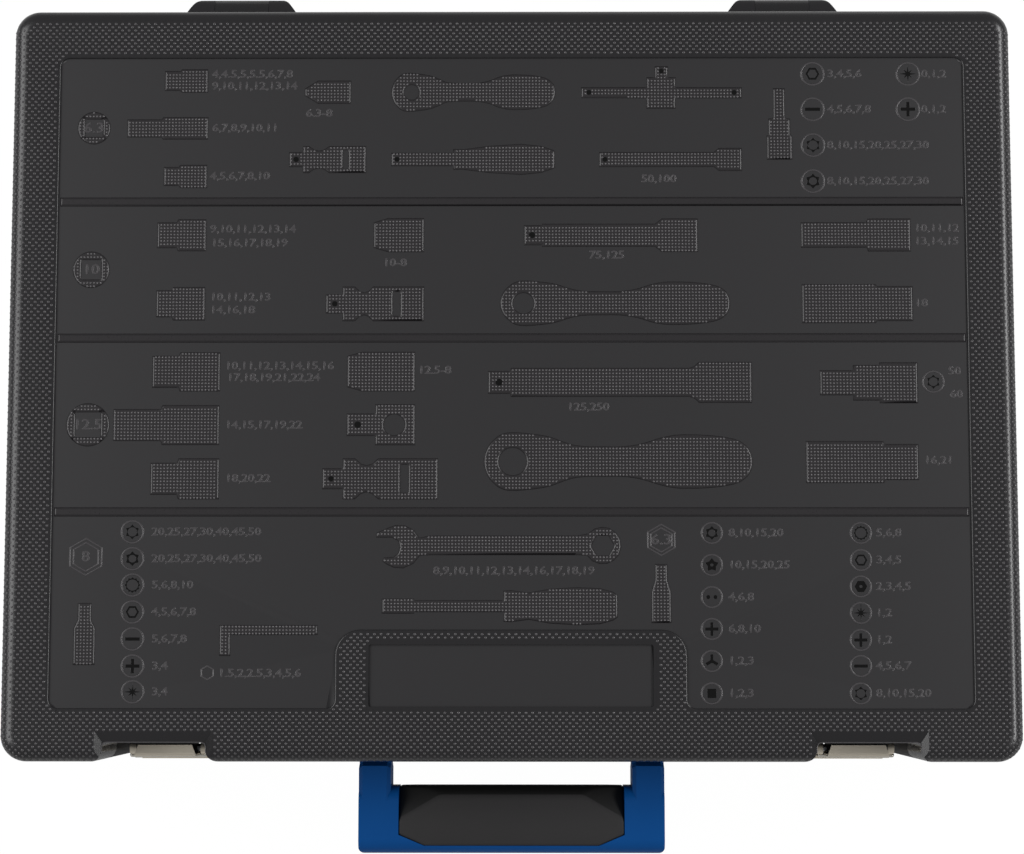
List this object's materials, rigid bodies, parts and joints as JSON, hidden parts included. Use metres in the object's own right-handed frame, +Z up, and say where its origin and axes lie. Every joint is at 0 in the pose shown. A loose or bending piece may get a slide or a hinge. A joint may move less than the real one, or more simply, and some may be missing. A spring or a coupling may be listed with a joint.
{
  "type": "socket wrench set in case",
  "caption": "Flat hinged moulded case with two draw latches and a folding carrying handle, holding ratchets, sockets, wrenches, bits and keys in pocketed trays.",
  "frame": {"origin": "centre of the base's flat underside, midway between the side walls and between the front and back walls", "axes": "+Z up through the closed lid, +X along the case's width, -Y towards the handle and latches, +Y towards the hinges"},
  "size_m": [0.395, 0.347, 0.094],
  "materials": {
    "case_plastic": "fine moulded texture",
    "tray_plastic": "matte",
    "handle_plastic": "satin",
    "grip_rubber": "soft matte",
    "pin_steel": "plain",
    "latch_steel": "nickel plated",
    "tool_steel": "satin chrome",
    "tool_grip": "soft matte",
    "black_steel": "black oxide",
    "bit_steel": "plain"
  },
  "bodies": {
    "base": {"base_shell": "case_plastic", "base_tray": "tray_plastic", "hinge_pins": "pin_steel", "latch_lever_pins": "pin_steel", "handle_pins": "pin_steel", "sockets_half": "tool_steel", "sockets_three_eighths": "tool_steel", "sockets_quarter": "tool_steel", "spark_plug_socket": "tool_steel", "extension_bar": "tool_steel", "sliding_bar_rod": "tool_steel", "spinner_shaft": "tool_steel", "spinner_grip": "tool_grip", "ratchet_half_body": "tool_steel", "ratchet_half_grip": "tool_grip", "ratchet_three_eighths_body": "tool_steel", "ratchet_three_eighths_grip": "tool_grip", "ratchet_quarter_body": "tool_steel", "ratchet_quarter_grip": "tool_grip", "universal_joint_half_driven_fork": "tool_steel", "universal_joint_half_cross": "tool_steel", "universal_joint_quarter_driven_fork": "tool_steel", "universal_joint_quarter_cross": "tool_steel"},
    "lid": {"lid_shell": "case_plastic", "lid_tray": "tray_plastic", "combination_wrenches": "tool_steel", "bit_racks": "tray_plastic", "screwdriver_bits": "bit_steel", "hex_keys": "black_steel"},
    "handle": {"handle_frame": "handle_plastic", "handle_grip": "grip_rubber"},
    "latch_lever_left": {"latch_lever_left": "latch_steel", "latch_hook_pin_left": "pin_steel"},
    "latch_hook_left": {"latch_hook_left": "latch_steel"},
    "latch_lever_right": {"latch_lever_right": "latch_steel", "latch_hook_pin_right": "pin_steel"},
    "latch_hook_right": {"latch_hook_right": "latch_steel"},
    "ratchet_half_drive": {"ratchet_half_drive_gear": "tool_steel"},
    "ratchet_half_button": {"ratchet_half_release_button": "tool_steel"},
    "ratchet_half_lever": {"ratchet_half_reverse_lever": "tool_steel"},
    "ratchet_three_eighths_drive": {"ratchet_three_eighths_drive_gear": "tool_steel"},
    "ratchet_three_eighths_button": {"ratchet_three_eighths_release_button": "tool_steel"},
    "ratchet_three_eighths_lever": {"ratchet_three_eighths_reverse_lever": "tool_steel"},
    "ratchet_quarter_drive": {"ratchet_quarter_drive_gear": "tool_steel"},
    "ratchet_quarter_button": {"ratchet_quarter_release_button": "tool_steel"},
    "ratchet_quarter_lever": {"ratchet_quarter_reverse_lever": "tool_steel"},
    "universal_joint_half_drive": {"universal_joint_half_drive_fork": "tool_steel"},
    "universal_joint_quarter_drive": {"universal_joint_quarter_drive_fork": "tool_steel"},
    "sliding_bar_head": {"sliding_bar_head": "tool_steel"}
  },
  "joints": [
    {"name": "lid_hinge", "type": "hinge", "parent": "base", "child": "lid", "pos_m": [0, 0.1557, 0.058], "axis": [-1, 0, 0], "range_deg": [0, 184]},
    {"name": "handle_fold", "type": "hinge", "parent": "base", "child": "handle", "pos_m": [0, -0.1376, 0.05], "axis": [1, 0, 0], "range_deg": [0, 90]},
    {"name": "latch_lever_left_turn", "type": "hinge", "parent": "base", "child": "latch_lever_left", "pos_m": [-0.1377, -0.1439, 0.052], "axis": [-1, 0, 0], "range_deg": [0, 70]},
    {"name": "latch_hook_left_turn", "type": "hinge", "parent": "latch_lever_left", "child": "latch_hook_left", "pos_m": [-0.1377, -0.1449, 0.044], "axis": [-1, 0, 0], "range_deg": [-91, 0]},
    {"name": "latch_lever_right_turn", "type": "hinge", "parent": "base", "child": "latch_lever_right", "pos_m": [0.1377, -0.1439, 0.052], "axis": [-1, 0, 0], "range_deg": [0, 70]},
    {"name": "latch_hook_right_turn", "type": "hinge", "parent": "latch_lever_right", "child": "latch_hook_right", "pos_m": [0.1377, -0.1449, 0.044], "axis": [-1, 0, 0], "range_deg": [-91, 0]},
    {"name": "ratchet_half_drive_turn", "type": "hinge", "parent": "base", "child": "ratchet_half_drive", "pos_m": [-0.14841, 0.06249, 0.02535], "axis": [0, 0, 1], "continuous": true},
    {"name": "ratchet_half_button_press", "type": "slide", "parent": "base", "child": "ratchet_half_button", "axis": [0, 0, -1], "range_m": [0, 0.0015], "stiffness_N_per_m": 400},
    {"name": "ratchet_half_lever_turn", "type": "hinge", "parent": "base", "child": "ratchet_half_lever", "pos_m": [-0.13291, 0.06249, 0.042], "axis": [0, 0, 1], "range_deg": [-25, 25]},
    {"name": "ratchet_three_eighths_drive_turn", "type": "hinge", "parent": "base", "child": "ratchet_three_eighths_drive", "pos_m": [-0.15107, 0.01683, 0.02728], "axis": [0, 0, 1], "continuous": true},
    {"name": "ratchet_three_eighths_button_press", "type": "slide", "parent": "base", "child": "ratchet_three_eighths_button", "axis": [0, 0, -1], "range_m": [0, 0.0015], "stiffness_N_per_m": 400},
    {"name": "ratchet_three_eighths_lever_turn", "type": "hinge", "parent": "base", "child": "ratchet_three_eighths_lever", "pos_m": [-0.13957, 0.01683, 0.0405], "axis": [0, 0, 1], "range_deg": [-25, 25]},
    {"name": "ratchet_quarter_drive_turn", "type": "hinge", "parent": "base", "child": "ratchet_quarter_drive", "pos_m": [-0.00151, -0.05599, 0.02916], "axis": [0, 0, 1], "continuous": true},
    {"name": "ratchet_quarter_button_press", "type": "slide", "parent": "base", "child": "ratchet_quarter_button", "axis": [0, 0, -1], "range_m": [0, 0.0015], "stiffness_N_per_m": 400},
    {"name": "ratchet_quarter_lever_turn", "type": "hinge", "parent": "base", "child": "ratchet_quarter_lever", "pos_m": [0.00762, -0.05599, 0.039], "axis": [0, 0, 1], "range_deg": [-25, 25]},
    {"name": "universal_joint_half_tilt", "type": "hinge", "parent": "base", "child": "universal_joint_half_drive", "pos_m": [0.13539, 0.06249, 0.0345], "axis": [0, -1, 0], "range_deg": [0, 30]},
    {"name": "universal_joint_quarter_tilt", "type": "hinge", "parent": "base", "child": "universal_joint_quarter_drive", "pos_m": [0.1576, -0.05599, 0.0345], "axis": [0, -1, 0], "range_deg": [0, 30]},
    {"name": "sliding_bar_slide", "type": "slide", "parent": "base", "child": "sliding_bar_head", "axis": [1, 0, 0], "range_m": [-0.03, 0.03]}
  ],
  "couplings": [
    {"joint": "latch_hook_left_turn", "follows": "latch_lever_left_turn", "ratio": -1.3},
    {"joint": "latch_hook_right_turn", "follows": "latch_lever_right_turn", "ratio": -1.3}
  ]
}
